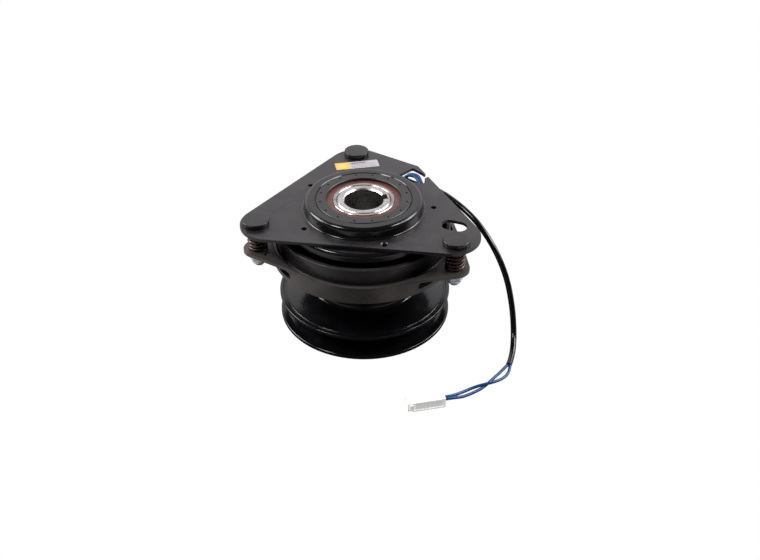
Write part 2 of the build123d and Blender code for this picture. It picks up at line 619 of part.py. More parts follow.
with BuildPart() as brake_plate:
    # Three ears grow out of the top rim, tangent to it, and stand one thickness above it.
    with BuildSketch(Plane.XY.offset(BRAKE_RIM_Z)):
        with Locations(*BOLT_POINTS.values()):
            Circle(EAR_CORNER_R)
        for ear_angle in BOLT_ANGLES.values():
            # The tangent lines from the ear's corner to the rim.
            spread = math.degrees(math.acos((BRAKE_R - EAR_CORNER_R) / BOLT_CIRCLE_R))
            ear_x, ear_y = polar(BOLT_CIRCLE_R, ear_angle)
            low = polar(EAR_CORNER_R, ear_angle - spread)
            high = polar(EAR_CORNER_R, ear_angle + spread)
            with BuildLine():
                Polyline((0, 0), polar(BRAKE_R, ear_angle - spread), (ear_x + low[0], ear_y + low[1]),
                         (ear_x + high[0], ear_y + high[1]), polar(BRAKE_R, ear_angle + spread), close=True)
            make_face()
        Circle(EAR_BEND_START_R, mode=Mode.SUBTRACT)
        with Locations(*BOLT_POINTS.values()):
            Circle(EAR_HOLE_R, mode=Mode.SUBTRACT)
        with Locations(PEEP_HOLE_PLACE):
            Circle(PEEP_HOLE_R, mode=Mode.SUBTRACT)
    extrude(amount=EAR_THICKNESS)
    # The ears are bent up from the wall, so their inner edge is round.
    with BuildSketch(Plane.XZ):
        with BuildLine():
            bend_centre = (EAR_BEND_START_R + EAR_BEND_R, EAR_TOP_Z - EAR_BEND_R)
            bend = CenterArc(bend_centre, EAR_BEND_R, 90, 90)
            Polyline(bend @ 1, (BRAKE_R - BRAKE_WALL, EAR_TOP_Z - EAR_BEND_R),
                     (BRAKE_R - BRAKE_WALL, EAR_TOP_Z + 1.0), (bend_centre[0], EAR_TOP_Z + 1.0), bend @ 0)
        make_face()
    revolve(axis=Axis.Z, mode=Mode.SUBTRACT)
    # Each flank of an ear runs down to the rim.
    for ear_angle in BOLT_ANGLES.values():
        for side in (-1, 1):
            ramp_start = ear_angle + side * RAMP_START
            away = Vector(*polar(side * math.cos(RAMP_SLOPE), ramp_start + 90.0), -math.sin(RAMP_SLOPE))
            lean = Vector(*polar(side * math.sin(RAMP_SLOPE), ramp_start + 90.0), math.cos(RAMP_SLOPE))
            with BuildSketch(Plane(origin=(*polar(BRAKE_R, ramp_start), EAR_TOP_Z), x_dir=away, z_dir=lean)):
                Rectangle(RAMP_LENGTH, 16.0, align=(Align.MIN, Align.CENTER))
            extrude(amount=4.0, mode=Mode.SUBTRACT)
    # The wall and the inward lip that carries the brake lining.
    with BuildSketch(Plane.XZ):
        with BuildLine():
            Polyline((BRAKE_LIP_R, BRAKE_BOTTOM_Z), (BRAKE_R - 1.2, BRAKE_BOTTOM_Z), (BRAKE_R, BRAKE_BOTTOM_Z + 1.2),
                     (BRAKE_R, BRAKE_RIM_Z), (BRAKE_R - BRAKE_WALL, BRAKE_RIM_Z),
                     (BRAKE_R - BRAKE_WALL, BRAKE_BOTTOM_Z + LIP_THICKNESS),
                     (BRAKE_LIP_R, BRAKE_BOTTOM_Z + LIP_THICKNESS), close=True)
        make_face()
    revolve(axis=Axis.Z)
    # Windows beside each ear, where a feeler gauge measures the air gap.
    for ear_name, ear_angle in BOLT_ANGLES.items():
        for window_offset in WINDOW_OFFSETS[ear_name]:
            window_angle = ear_angle + window_offset
            outward = Vector(*polar(1.0, window_angle), 0)
            window_origin = (*polar(BRAKE_LIP_R, window_angle), WINDOW_BOTTOM_Z + WINDOW_HEIGHT / 2)
            window_plane = Plane(origin=window_origin, x_dir=(-outward.Y, outward.X, 0), z_dir=outward)
            with BuildSketch(window_plane):
                RectangleRounded(WINDOW_LENGTH, WINDOW_HEIGHT, 1.5)
            extrude(amount=BRAKE_R - BRAKE_LIP_R + 2.0, mode=Mode.SUBTRACT)
save(brake_plate, "brake_plate")

with BuildPart() as brake_lining:
    with BuildSketch(Plane.XY.offset(BRAKE_BOTTOM_Z + LIP_THICKNESS)):
        Circle(BRAKE_R - BRAKE_WALL - 0.3)
        Circle(BRAKE_LIP_R + 0.3, mode=Mode.SUBTRACT)
    extrude(amount=LINING_TOP_Z - BRAKE_BOTTOM_Z - LIP_THICKNESS)
save(brake_lining, "brake_lining")

NUT_BORE_R = BOLT_SHANK_R + 0.05

# Lock nuts: a hexagon under the ear and a round collar below it.
for nut_name, (nut_x, nut_y) in BOLT_POINTS.items():
    with BuildPart() as brake_nut:
        with BuildSketch(Plane.XY.offset(BRAKE_RIM_Z)):
            with Locations((nut_x, nut_y)):
                RegularPolygon(NUT_ACROSS / 2, 6, major_radius=False)
                Circle(NUT_BORE_R, mode=Mode.SUBTRACT)
        extrude(amount=-NUT_HEX_HEIGHT)
        with BuildSketch(Plane.XY.offset(BRAKE_RIM_Z - NUT_HEX_HEIGHT)):
            with Locations((nut_x, nut_y)):
                Circle(NUT_COLLAR_R)
                Circle(NUT_BORE_R, mode=Mode.SUBTRACT)
        extrude(amount=-NUT_COLLAR_HEIGHT)
        collar_rim = brake_nut.edges().group_by(Axis.Z)[0].sort_by(SortBy.RADIUS)[-1]
        fillet(collar_rim, radius=0.8)
    save(brake_nut, "brake_nut_" + nut_name)


# ---------------------------------------------------------------- pulley

def groove_rise(deep_r, rim_r):
    """How far a groove wall climbs between its floor and its rim."""
    return (rim_r - deep_r) * math.tan(math.radians(GROOVE_HALF_ANGLE))


PULLEY_INNER_R = 44.0
PULLEY_POCKET_Z = 15.0
UPPER_WALL_Z = 48.0
RIM_DISH = 0.4

with BuildPart() as pulley:
    middle_rim_top = MIDDLE_RIM_Z + RIM_THICKNESS
    upper_floor_low = middle_rim_top - RIM_DISH + groove_rise(UPPER_GROOVE_R, RIM_INNER_R)
    upper_floor_high = UPPER_WALL_Z - groove_rise(UPPER_GROOVE_R, UPPER_FLANGE_R)
    lower_floor_low = RIM_THICKNESS + groove_rise(LOWER_GROOVE_R, RIM_INNER_R)
    lower_floor_high = MIDDLE_RIM_Z - groove_rise(LOWER_GROOVE_R, RIM_INNER_R)
    with BuildSketch(Plane.XZ):
        with BuildLine():
            Polyline((PULLEY_INNER_R, 0.6), (PULLEY_INNER_R + 0.6, 0), (FLANGE_R - 0.4, 0), (FLANGE_R, 0.4),
                     (FLANGE_R, RIM_THICKNESS - 0.4), (FLANGE_R - 0.4, RIM_THICKNESS),
                     (RIM_INNER_R, RIM_THICKNESS), (LOWER_GROOVE_R, lower_floor_low),
                     (LOWER_GROOVE_R, lower_floor_high), (RIM_INNER_R, MIDDLE_RIM_Z),
                     (FLANGE_R - 0.4, MIDDLE_RIM_Z), (FLANGE_R, MIDDLE_RIM_Z + 0.4),
                     (FLANGE_R, middle_rim_top - 0.4), (FLANGE_R - 0.4, middle_rim_top),
                     (RELIEF_OUTER_R, middle_rim_top), (RELIEF_OUTER_R - 0.4, middle_rim_top - RELIEF_DEPTH),
                     (RELIEF_INNER_R + 0.2, middle_rim_top - RELIEF_DEPTH),
                     (RELIEF_INNER_R, middle_rim_top - RIM_DISH), (RIM_INNER_R, middle_rim_top - RIM_DISH), (UPPER_GROOVE_R, upper_floor_low),
                     (UPPER_GROOVE_R, upper_floor_high), (UPPER_FLANGE_R, UPPER_WALL_Z),
                     (UPPER_FLANGE_R, PULLEY_TOP_Z), (BEARING_OUTER_R + 0.2, PULLEY_TOP_Z),
                     (BEARING_OUTER_R + 0.2, PULLEY_BEARING_Z + BEARING_WIDTH + 1.0),
                     (BEARING_OUTER_R, PULLEY_BEARING_Z + BEARING_WIDTH + 1.0),
                     (BEARING_OUTER_R, PULLEY_BEARING_Z), (PULLEY_LEDGE_R, PULLEY_BEARING_Z),
                     (PULLEY_LEDGE_R, PULLEY_BEARING_Z - 2.5), (POCKET_CONE_R, PULLEY_POCKET_Z), (PULLEY_INNER_R, PULLEY_POCKET_Z),
                     close=True)
        make_face()
    revolve(axis=Axis.Z)
    floor_corners = pulley.edges().filter_by(GeomType.CIRCLE).filter_by(
        lambda edge: abs(edge.radius - UPPER_GROOVE_R) < 0.01)
    fillet(floor_corners, radius=3.0)
    for leaf_angle in LEAF_ANGLES:
        with BuildSketch(leaf_plane(leaf_angle, PULLEY_TOP_Z)):
            with Locations((-RIVET_OFFSET, 0)):
                Circle(RIVET_R)
        extrude(amount=-PULLEY_RIVET_DEPTH, mode=Mode.SUBTRACT)
save(pulley, "pulley")


# ---------------------------------------------------------------- lead, sleeve, wires and connector

# Both lead wires leave the coil, loop up through the cable window and pass under the plate.
LEAD_ROUTE = [(30.8, 44.8, 84.5), (31.0, 45.2, 89.6), (34.2, 45.8, 91.8), (40.4, 43.4, 91.6), (42.4, 38.4, 89.2),
              (43.4, 36.0, 86.8), (53.4, 34.4, 86.4), (60.5, 27.0, 85.3)]
LEAD_SHIFT = (0.95, 1.05, 0.0)

for wire_name, side in (("lead_wire_front", -1), ("lead_wire_rear", 1)):
    shifted = [tuple(value + side * shift for value, shift in zip(point, LEAD_SHIFT)) for point in LEAD_ROUTE]
    save(cord_tube(shifted, WIRE_R, wire_name), wire_name)

SLEEVE_ROUTE = [(60.5, 27.0, 85.3), (76.0, 8.5, 83.8), (93.0, -11.5, 69.5), (104.5, -25.5, 49.0),
                (109.8, -34.5, 27.0), (111.3, -43.5, 11.5), (110.3, -55.0, 4.0), (107.6, -66.5, 2.3),
                (105.0, -76.0, 2.2)]
save(cord_tube(SLEEVE_ROUTE, SLEEVE_R, "lead_sleeve"), "lead_sleeve")

# The wires lie on the floor and cross once before they reach the connector.
WIRE_A_ROUTE = [(104.08, -75.75, 2.2), (99.6, -80.0, 1.1), (92.6, -87.6, 1.0), (84.8, -96.2, 1.0),
                (77.5, -101.4, 1.0), (69.5, -106.0, 1.6), (62.3, -109.45, 4.0), (56.06, -110.8, 4.0)]
WIRE_B_ROUTE = [(105.92, -76.25, 2.2), (104.4, -81.5, 1.3), (99.5, -87.4, 1.7), (92.6, -92.7, 3.2),
                (85.5, -95.0, 3.2), (78.0, -96.2, 1.6), (70.5, -100.6, 1.5), (61.9, -107.49, 4.0),
                (55.64, -108.84, 4.0)]
save(cord_tube(WIRE_A_ROUTE, WIRE_R, "connector_wire_a"), "connector_wire_a")
save(cord_tube(WIRE_B_ROUTE, WIRE_R, "connector_wire_b"), "connector_wire_b")

CONNECTOR_CENTRE = (43.0, -112.6)
CONNECTOR_TURN = 12.2
CONNECTOR_LENGTH = 26.5
CONNECTOR_WIDTH = 9.5
CONNECTOR_HEIGHT = 8.0
CAVITY_PITCH = 4.0
CAVITY_SIZE = 2.9
CAVITY_DEPTH = 9.0

connector_direction = Vector(*polar(1.0, CONNECTOR_TURN), 0)
connector_base = Plane(origin=(*CONNECTOR_CENTRE, 0), x_dir=connector_direction, z_dir=(0, 0, 1))

with BuildPart() as connector_housing:
    with BuildSketch(connector_base):
        Rectangle(CONNECTOR_LENGTH, CONNECTOR_WIDTH)
    extrude(amount=CONNECTOR_HEIGHT)
    fillet(connector_housing.edges().filter_by(Axis.Z), radius=0.8)
    with BuildSketch(connector_base.offset(CONNECTOR_HEIGHT)):
        with Locations((4.0, 0)):
            Rectangle(9.0, 4.0)
    extrude(amount=-0.8, mode=Mode.SUBTRACT)
    # The mating end is open for two pins.
    with BuildSketch(Plane(origin=connector_base.from_local_coords((-CONNECTOR_LENGTH / 2, 0, 4.0)),
                           x_dir=connector_base.y_dir, z_dir=connector_direction)):
        with Locations((-CAVITY_PITCH / 2, 0), (CAVITY_PITCH / 2, 0)):
            Rectangle(CAVITY_SIZE, 4.6)
    extrude(amount=CAVITY_DEPTH, mode=Mode.SUBTRACT)
save(connector_housing, "connector_housing")

with BuildPart() as connector_terminals:
    with BuildSketch(Plane(origin=connector_base.from_local_coords((-CONNECTOR_LENGTH / 2 + CAVITY_DEPTH, 0, 4.0)),
                           x_dir=connector_base.y_dir, z_dir=connector_direction * -1)):
        with Locations((-CAVITY_PITCH / 2, 0), (CAVITY_PITCH / 2, 0)):
            Rectangle(0.8, 2.8)
    extrude(amount=CAVITY_DEPTH - 2.0)
save(connector_terminals, "connector_terminals")
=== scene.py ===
import math

import bmesh
import bpy
from mathutils import Matrix, Vector


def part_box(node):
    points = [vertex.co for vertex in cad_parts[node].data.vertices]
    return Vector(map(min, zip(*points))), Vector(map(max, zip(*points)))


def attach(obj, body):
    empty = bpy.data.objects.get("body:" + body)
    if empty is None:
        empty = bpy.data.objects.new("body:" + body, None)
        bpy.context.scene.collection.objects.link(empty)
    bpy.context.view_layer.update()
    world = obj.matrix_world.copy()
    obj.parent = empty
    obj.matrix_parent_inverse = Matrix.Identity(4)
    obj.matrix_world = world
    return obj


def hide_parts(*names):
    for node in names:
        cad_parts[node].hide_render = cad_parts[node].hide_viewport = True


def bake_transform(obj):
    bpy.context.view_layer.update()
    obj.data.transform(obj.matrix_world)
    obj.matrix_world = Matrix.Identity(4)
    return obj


# Electric blade clutch for a mower. All sizes are in metres. The shaft axis is Z, and the
# pulley's bottom rim stands on the floor at z = 0.

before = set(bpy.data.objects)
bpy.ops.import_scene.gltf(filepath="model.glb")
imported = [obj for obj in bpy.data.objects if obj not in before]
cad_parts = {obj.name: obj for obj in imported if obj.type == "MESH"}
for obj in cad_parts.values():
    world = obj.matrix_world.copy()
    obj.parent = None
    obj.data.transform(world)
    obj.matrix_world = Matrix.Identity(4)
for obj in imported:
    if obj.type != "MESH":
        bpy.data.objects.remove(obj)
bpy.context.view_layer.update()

# ---------------------------------------------------------------- sizes shared between pieces


def on_circle(radius, degrees):
    """A place round the shaft axis, at floor level."""
    turn = math.radians(degrees)
    return Vector((radius * math.cos(turn), radius * math.sin(turn), 0.0))


PLATE_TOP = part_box("field_plate")[1].z
PLATE_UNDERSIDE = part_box("field_plate")[0].z
EAR_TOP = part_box("brake_plate")[1].z
PULLEY_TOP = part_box("pulley")[1].z
BOLT_CIRCLE = 0.0797
BOLT_ANGLES = {"back": 95.0, "left": 196.2, "right": 324.0}
BOLT_PLACES = {name: on_circle(BOLT_CIRCLE, angle) for name, angle in BOLT_ANGLES.items()}
LATHE_STEPS = 192
ROUND_STEPS = 4
SMOOTH_UNDER = math.radians(32.0)
FLAT_WITHIN = math.radians(0.4)


# ---------------------------------------------------------------- shader nodes


class Number:
    """A number inside a material. Arithmetic on it adds Math nodes."""

    def __init__(self, nodes, link):
        self.nodes = nodes
        self.link = link

    def math(self, operation, *values):
        return self.nodes.add("ShaderNodeMath", {"operation": operation}, dict(enumerate(values)))

    def __add__(self, other):
        return self.math("ADD", self, other)

    def __radd__(self, other):
        return self.math("ADD", other, self)

    def __sub__(self, other):
        return self.math("SUBTRACT", self, other)

    def __rsub__(self, other):
        return self.math("SUBTRACT", other, self)

    def __mul__(self, other):
        return self.math("MULTIPLY", self, other)

    def __rmul__(self, other):
        return self.math("MULTIPLY", other, self)


class Nodes:
    """The node tree of one material or of the studio's sky."""

    def __init__(self, owner):
        owner.use_nodes = True
        self.owner = owner
        self.tree = owner.node_tree

    def add(self, kind, settings=None, inputs=None, output=0):
        """Any node: its settings first, then a value or a link for each of its sockets."""
        made = self.tree.nodes.new(kind)
        for key, value in (settings or {}).items():
            if key == "stops":
                while len(made.color_ramp.elements) < len(value):
                    made.color_ramp.elements.new(0.5)
                for stop, (position, colour) in zip(made.color_ramp.elements, value):
                    stop.position = position
                    stop.color = colour
            else:
                setattr(made, key, value)
        self.feed(made, inputs or {})
        return Number(self, made.outputs[output])

    def feed(self, target, inputs):
        for key, value in inputs.items():
            if isinstance(value, Number):
                self.tree.links.new(value.link, target.inputs[key])
            else:
                target.inputs[key].default_value = value

    def surface(self, **inputs):
        """Sets the main shader's sockets, named with underscores for spaces."""
        shader = self.tree.nodes["Principled BSDF"]
        self.feed(shader, {key.replace("_", " "): value for key, value in inputs.items()})
        return self.owner

    def place(self):
        return self.add("ShaderNodeTexCoord", output="Object")

    def along(self, axis, place=None):
        return self.add("ShaderNodeSeparateXYZ", inputs={0: place or self.place()}, output=axis)

    def from_axis(self):
        """The distance from the shaft axis."""
        without_height = {0: self.place(), 1: (1.0, 1.0, 0.0)}
        flat = self.add("ShaderNodeVectorMath", {"operation": "MULTIPLY"}, without_height)
        return self.add("ShaderNodeVectorMath", {"operation": "LENGTH"}, {0: flat}, "Value")

    def noise(self, scale, detail=3.0, place=None, roughness=0.5):
        inputs = {
            "Vector": place or self.place(), "Scale": scale, "Detail": detail,
            "Roughness": roughness,
        }
        return self.add("ShaderNodeTexNoise", inputs=inputs)

    def lines(self, across, pitch, detail=2.0):
        """Uneven parallel lines, as a cutting tool leaves them."""
        inputs = {"W": across * (1.0 / pitch), "Scale": 1.0, "Detail": detail}
        return self.add("ShaderNodeTexNoise", {"noise_dimensions": "1D"}, inputs)

    def between(self, value, low, high, at_low=0.0, at_high=1.0):
        """A smooth step from one value to another between two limits."""
        inputs = {
            "Value": value, "From Min": low, "From Max": high, "To Min": at_low, "To Max": at_high,
        }
        return self.add("ShaderNodeMapRange", {"interpolation_type": "SMOOTHSTEP"}, inputs)

    def mix(self, factor, first, second):
        return self.add("ShaderNodeMix", {"data_type": "RGBA"}, {0: factor, 6: first, 7: second}, 2)

    def bump(self, height, depth, normal=None):
        inputs = {"Height": height, "Distance": depth, "Strength": 1.0}
        if normal is not None:
            inputs["Normal"] = normal
        return self.add("ShaderNodeBump", inputs=inputs)


def rgb(red, green, blue):
    return (red, green, blue, 1.0)


def finish(name):
    return Nodes(bpy.data.materials.new(name))


# ---------------------------------------------------------------- finishes


def coated_steel(name, dark, warm, gloss, grain=0.0):
    """Black stove enamel on steel: faint cloudy colour, handling haze and orange peel."""
    nodes = finish(name)
    clouds = nodes.noise(38.0, 4.0)
    haze = nodes.noise(110.0, 5.0, roughness=0.65)
    specks = nodes.between(nodes.noise(1500.0, 2.0), 0.62, 0.72)
    colour = nodes.mix(nodes.between(clouds, 0.35, 0.68), rgb(*dark), rgb(*warm))
    colour = nodes.mix(specks * 0.35, colour, rgb(*[4.0 * channel for channel in warm]))
    roughness = nodes.between(haze, 0.3, 0.75, gloss, gloss + 0.14) + specks * 0.15
    height = nodes.noise(900.0, 2.0) * 0.5 + nodes.noise(3200.0, 2.0) * grain
    return nodes.surface(
        Base_Color=colour, Roughness=roughness, Normal=nodes.bump(height, 0.000012)
    )


def turned_enamel(name, dark, gloss, pitch, depth):
    """Black enamel over turned steel, so that the tool's rings show through."""
    nodes = finish(name)
    radius = nodes.from_axis()
    height = nodes.along("Z")
    rings = nodes.lines(radius, pitch) + nodes.lines(height, pitch)
    broad_pitch = pitch * 5.0
    broad = nodes.lines(radius, broad_pitch, 1.0) + nodes.lines(height, broad_pitch, 1.0)
    haze = nodes.noise(70.0, 5.0, roughness=0.6)
    handled = rgb(*[1.8 * channel for channel in dark])
    colour = nodes.mix(nodes.between(haze, 0.4, 0.7), rgb(*dark), handled)
    roughness = nodes.between(haze, 0.35, 0.75, gloss, gloss + 0.1)
    return nodes.surface(
        Base_Color=colour, Roughness=roughness, Normal=nodes.bump(rings * 0.6 + broad, depth)
    )


def machined(name, colour, roughness, pitch, depth, tarnish):
    """Bare turned or ground steel with rings round the shaft axis and a little tarnish."""
    nodes = finish(name)
    rings = nodes.lines(nodes.from_axis(), pitch) + nodes.lines(nodes.along("Z"), pitch)
    stain = nodes.between(nodes.noise(160.0, 5.0, roughness=0.6), 0.45, 0.75)
    shade = nodes.mix(stain, rgb(*colour), rgb(*tarnish))
    rough = nodes.between(rings, 0.6, 1.4, roughness - 0.06, roughness + 0.08) + stain * 0.06
    return nodes.surface(
        Base_Color=shade, Metallic=1.0, Roughness=rough, Normal=nodes.bump(rings, depth)
    )


def plated(name, colour, shade, roughness, metallic=1.0):
    """Plated steel: cloudy colour and fine pitting."""
    nodes = finish(name)
    clouds = nodes.noise(420.0, 4.0, roughness=0.6)
    pits = nodes.noise(5200.0, 2.0)
    tone = nodes.mix(nodes.between(clouds, 0.35, 0.7), rgb(*colour), rgb(*shade))
    rough = nodes.between(clouds, 0.3, 0.7, roughness, roughness + 0.15)
    return nodes.surface(
        Base_Color=tone, Metallic=metallic, Roughness=rough, Normal=nodes.bump(pits, 0.000006)
    )


def moulded(name, colour, roughness, grain=0.00001):
    """Moulded rubber or plastic: a slight mottle and a fine skin."""
    nodes = finish(name)
    mottle = nodes.noise(260.0, 4.0)
    darker = [0.72 * channel for channel in colour]
    tone = nodes.mix(nodes.between(mottle, 0.35, 0.7), rgb(*colour), rgb(*darker))
    rough = nodes.between(nodes.noise(700.0, 3.0), 0.3, 0.7, roughness - 0.05, roughness + 0.1)
    return nodes.surface(
        Base_Color=tone, Roughness=rough, Normal=nodes.bump(nodes.noise(2600.0, 2.0), grain)
    )


def bronzed(name):
    """Dark oxide with a bronze cast, cloudy, rubbed in streaks that run round the rim."""
    nodes = finish(name)
    clouds = nodes.noise(65.0, 5.0, roughness=0.62)
    streaks = nodes.lines(nodes.along("Z"), 0.0006, 3.0)
    rust = nodes.between(nodes.noise(120.0, 6.0, roughness=0.7), 0.55, 0.72)
    oxide, bronze, brown = rgb(0.07, 0.064, 0.066), rgb(0.125, 0.108, 0.095), rgb(0.1, 0.07, 0.05)
    tone = nodes.mix(nodes.between(clouds, 0.36, 0.66), oxide, bronze)
    tone = nodes.mix(rust * 0.4, tone, brown)
    metal = nodes.between(clouds, 0.4, 0.7, 0.35, 0.65)
    rough = nodes.between(clouds, 0.3, 0.7, 0.26, 0.38) + streaks * 0.06
    height = streaks * 0.7 + nodes.noise(1400.0, 3.0) * 0.6
    return nodes.surface(
        Base_Color=tone, Metallic=metal, Roughness=rough, Normal=nodes.bump(height, 0.000012)
    )


LABEL_CENTRE = (-0.0062, 0.062, 0.0)
LABEL_TURN = math.radians(11.0)
BLOCK_START, BLOCK_END = -0.0062, -0.0060
PRINT_START = -0.0045


def printed_label(name):
    """A sticker with a yellow block and rows of grey dashes on silver-white film."""
    nodes = finish(name)
    local = nodes.add(
        "ShaderNodeMapping",
        {"vector_type": "TEXTURE"},
        {"Vector": nodes.place(), "Location": LABEL_CENTRE, "Rotation": (0.0, 0.0, LABEL_TURN)},
    )
    along, across = nodes.along("X", local), nodes.along("Y", local)
    edge = 0.00008
    ink, pale_yellow, grime = rgb(0.055, 0.05, 0.06), rgb(0.95, 0.75, 0.3), rgb(0.4, 0.38, 0.36)
    yellow, silver = rgb(0.74, 0.47, 0.09), rgb(0.46, 0.43, 0.46)
    tone = nodes.mix(nodes.between(along, BLOCK_START, BLOCK_END), yellow, silver)

    def stripe(low, high, start, end):
        above = nodes.between(across, low - edge, low + edge)
        below = nodes.between(across, high - edge, high + edge, 1, 0)
        after = nodes.between(along, start - edge, start + edge)
        before = nodes.between(along, end - edge, end + edge, 1, 0)
        return above * below * after * before

    dashes = nodes.between(nodes.lines(along, 0.00055, 1.0), 0.42, 0.5)
    tone = nodes.mix(stripe(0.0021, 0.0036, PRINT_START, 0.0075) * dashes, tone, ink)
    tone = nodes.mix(stripe(0.0000, 0.0010, PRINT_START, 0.0145) * dashes * 0.55, tone, ink)
    tone = nodes.mix(stripe(-0.0021, -0.0012, PRINT_START, 0.0150) * dashes * 0.45, tone, ink)
    tone = nodes.mix(stripe(-0.0040, -0.0032, PRINT_START, 0.0150) * 0.4, tone, ink)
    tone = nodes.mix(stripe(-0.0026, 0.0026, -0.0145, -0.0085) * 0.35, tone, pale_yellow)
    scuffs = nodes.between(nodes.noise(900.0, 5.0, roughness=0.7), 0.55, 0.75)
    tone = nodes.mix(scuffs * 0.3, tone, grime)
    return nodes.surface(Base_Color=tone, Roughness=0.32 + scuffs * 0.2)


def winding(name):
    """Layers of enamelled wire, seen as fine rounded rings, with painted shade between the rows."""
    nodes = finish(name)
    rows_and_shade = nodes.add(
        "ShaderNodeTexWave", {"bands_direction": "Z"}, {"Vector": nodes.place(), "Scale": 310.0}
    )
    # The same rows darken the tone in the grooves between turns: painted shade that follows the
    # bump.
    tone = nodes.mix(rows_and_shade, rgb(0.2, 0.06, 0.02), rgb(0.62, 0.26, 0.1))
    return nodes.surface(
        Base_Color=tone, Metallic=0.9, Roughness=0.35, Normal=nodes.bump(rows_and_shade, 0.0002)
    )


def nylon(name):
    """Milky natural nylon, with a painted glow that stands in for the light passing through it."""
    nodes = finish(name)
    flow = nodes.noise(300.0, 4.0)
    milk, shaded = rgb(0.93, 0.93, 0.91), rgb(0.86, 0.855, 0.83)
    tone = nodes.mix(nodes.between(flow, 0.35, 0.7), milk, shaded)
    rough = nodes.between(flow, 0.3, 0.7, 0.22, 0.32)
    # The emission is a painted glow: the housing lights itself in place of light shining through
    # it.
    return nodes.surface(
        Base_Color=tone, Roughness=rough, Emission_Color=tone, Emission_Strength=0.42
    )


PLATE_COAT = coated_steel(
    "plate_enamel", dark=(0.013, 0.0115, 0.0145), warm=(0.026, 0.021, 0.022), gloss=0.24, grain=0.25
)
DOME_COAT = coated_steel(
    "dome_enamel", dark=(0.003, 0.0028, 0.0034), warm=(0.005, 0.0045, 0.005), gloss=0.1
)
RING_COAT = coated_steel(
    "ring_enamel", dark=(0.014, 0.0135, 0.0145), warm=(0.02, 0.018, 0.019), gloss=0.3, grain=0.3
)
BOLT_COAT = coated_steel(
    "bolt_black_oxide", dark=(0.008, 0.0075, 0.0085), warm=(0.018, 0.0155, 0.015), gloss=0.2,
    grain=0.5,
)
PULLEY_COAT = turned_enamel(
    "pulley_enamel", dark=(0.003, 0.0028, 0.0036), gloss=0.12, pitch=0.0008, depth=0.00005
)
BRONZED = bronzed("bronzed_oxide")
ROTOR_COAT = coated_steel(
    "rotor_enamel", dark=(0.02, 0.018, 0.0185), warm=(0.032, 0.027, 0.027), gloss=0.27, grain=0.2
)
MACHINED = machined(
    "turned_steel", colour=(0.55, 0.535, 0.54), roughness=0.27, pitch=0.00035, depth=0.000006,
    tarnish=(0.36, 0.32, 0.27),
)
RACE_STEEL = machined(
    "ground_race_steel", colour=(0.4, 0.39, 0.39), roughness=0.2, pitch=0.0002, depth=0.000003,
    tarnish=(0.26, 0.22, 0.19),
)
SPRING_WIRE = plated(
    "passivated_spring_wire", colour=(0.13, 0.085, 0.06), shade=(0.05, 0.035, 0.028),
    roughness=0.2, metallic=0.7,
)
ZINC = plated(
    "bright_zinc", colour=(0.85, 0.89, 0.92), shade=(0.74, 0.8, 0.84), roughness=0.3, metallic=0.55
)
LEAF_STEEL = plated(
    "rolled_spring_strip", colour=(0.42, 0.42, 0.43), shade=(0.3, 0.29, 0.28), roughness=0.3
)
BRASS = plated("stamped_brass", colour=(0.72, 0.54, 0.24), shade=(0.55, 0.4, 0.18), roughness=0.25)
SEAL = moulded("seal_rubber_red", colour=(0.15, 0.052, 0.046), roughness=0.42)
LINING = moulded("friction_facing", colour=(0.16, 0.13, 0.1), roughness=0.8, grain=0.00006)
BOBBIN = moulded("bobbin_nylon", colour=(0.09, 0.09, 0.09), roughness=0.45)
POTTING = moulded("potting_resin_black", colour=(0.03, 0.03, 0.03), roughness=0.3)
SLEEVE_VINYL = moulded("sleeve_vinyl", colour=(0.003, 0.003, 0.0035), roughness=0.13)
BLUE_VINYL = moulded("blue_vinyl", colour=(0.004, 0.075, 0.24), roughness=0.3)
COPPER = winding("enamelled_copper")
LABEL = printed_label("printed_film")
NYLON_PAINTED_GLOW = nylon("nylon_painted_glow")

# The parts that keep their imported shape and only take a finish.
PLAIN_FINISHES = {
    DOME_COAT: ["field_shell"],
    RING_COAT: ["bearing_retainer_ring"],
    MACHINED: ["hub", "armature_plate", "bearing_spacer"],
    RACE_STEEL: [
        "field_bearing_inner_race", "field_bearing_outer_race", "field_bearing_balls",
        "pulley_bearing_inner_race", "pulley_bearing_outer_race", "pulley_bearing_balls",
    ],
    SEAL: [
        "field_bearing_top_seal", "field_bearing_bottom_seal",
        "pulley_bearing_top_seal", "pulley_bearing_bottom_seal",
    ],
    LEAF_STEEL: ["field_bearing_cage", "pulley_bearing_cage", "snap_ring"],
    ZINC: ["pulley_rivets", "armature_rivets"],
    LINING: ["rotor_lining", "brake_lining"],
    BOBBIN: ["coil_bobbin"],
    POTTING: ["coil_potting"],
    COPPER: ["coil_winding"],
    LABEL: ["plate_label"],
    BRASS: ["connector_terminals"],
}
for material, node_names in PLAIN_FINISHES.items():
    for node_name in node_names:
        for material_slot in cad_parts[node_name].material_slots:
            material_slot.material = material


# ---------------------------------------------------------------- making pieces


def piece(name, bm, body, material, slot, *replaced):
    """A finished mesh piece on a body. Body None leaves it free."""
    mesh = bpy.data.meshes.new(name)
    bm.to_mesh(mesh)
    bm.free()
    mesh.materials.append(material)
    mesh.polygons.foreach_set("use_smooth", [True] * len(mesh.polygons))
    mesh.set_sharp_from_angle(angle=SMOOTH_UNDER)
    made = bpy.data.objects.new(name, mesh)
    bpy.context.scene.collection.objects.link(made)
    weighted = made.modifiers.new("even shading on flats", "WEIGHTED_NORMAL")
    weighted.keep_sharp = True
    if body:
        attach(made, body)
    if replaced:
        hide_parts(*replaced)
    return made


